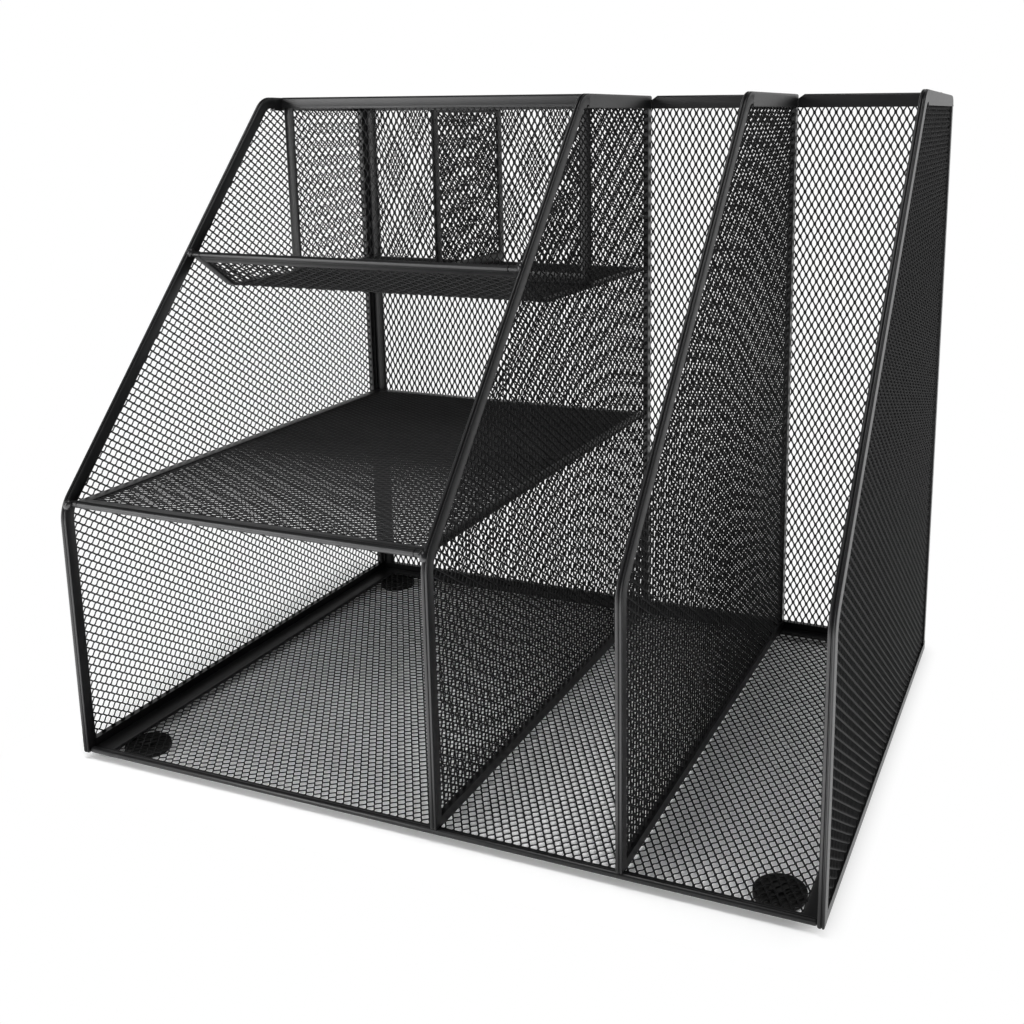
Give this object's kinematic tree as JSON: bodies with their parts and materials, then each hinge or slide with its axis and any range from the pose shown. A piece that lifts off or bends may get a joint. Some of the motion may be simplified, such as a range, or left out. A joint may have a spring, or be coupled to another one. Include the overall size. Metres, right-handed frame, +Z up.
{
  "type": "mesh desk organizer",
  "caption": "Black wire-mesh desk organizer with sloping side panels, an open shelf bay under a lipped tray, pen compartments at the back and upright file slots.",
  "frame": {"origin": "centre of the footprint on the desk, level with the underside of the feet", "axes": "+X to the right from the shelf bay towards the file slots, +Y from the open front to the back wall, +Z up"},
  "size_m": [0.3362, 0.251, 0.293],
  "materials": {
    "coated_frame": "satin black powder coat on folded steel strip",
    "coated_mesh": "satin black powder coat on expanded steel sheet",
    "foot_rubber": "matt black rubber"
  },
  "bodies": {
    "root": {"accessory_divider_mesh": "coated_mesh", "accessory_divider_strip": "coated_frame", "accessory_front_mesh": "coated_mesh", "accessory_front_strip": "coated_frame", "accessory_top_band": "coated_frame", "back_wall_desk_bay_cap": "coated_frame", "back_wall_first_slot_cap": "coated_frame", "back_wall_foot_rail": "coated_frame", "back_wall_left_strip": "coated_frame", "back_wall_mesh": "coated_mesh", "back_wall_right_strip": "coated_frame", "back_wall_second_slot_cap": "coated_frame", "file_divider_back_strip": "coated_frame", "file_divider_cap": "coated_frame", "file_divider_foot_rail": "coated_frame", "file_divider_mesh": "coated_mesh", "file_divider_rim": "coated_frame", "floor_edge_strip": "coated_frame", "floor_front_rim": "coated_frame", "floor_mesh": "coated_mesh", "foot_back_left": "foot_rubber", "foot_back_right": "foot_rubber", "foot_front_left": "foot_rubber", "foot_front_right": "foot_rubber", "left_side_back_strip": "coated_frame", "left_side_cap": "coated_frame", "left_side_foot_rail": "coated_frame", "left_side_mesh": "coated_mesh", "left_side_rim": "coated_frame", "right_side_back_strip": "coated_frame", "right_side_cap": "coated_frame", "right_side_foot_rail": "coated_frame", "right_side_mesh": "coated_mesh", "right_side_rim": "coated_frame", "shelf_divider_back_strip": "coated_frame", "shelf_divider_cap": "coated_frame", "shelf_divider_foot_rail": "coated_frame", "shelf_divider_mesh": "coated_mesh", "shelf_divider_rim": "coated_frame", "shelf_edge_strip": "coated_frame", "shelf_front_rail": "coated_frame", "shelf_mesh": "coated_mesh", "tray_edge_strip": "coated_frame", "tray_front_rail": "coated_frame", "tray_lip_mesh": "coated_mesh", "tray_lip_strip": "coated_frame", "tray_mesh": "coated_mesh"}
  },
  "joints": []
}
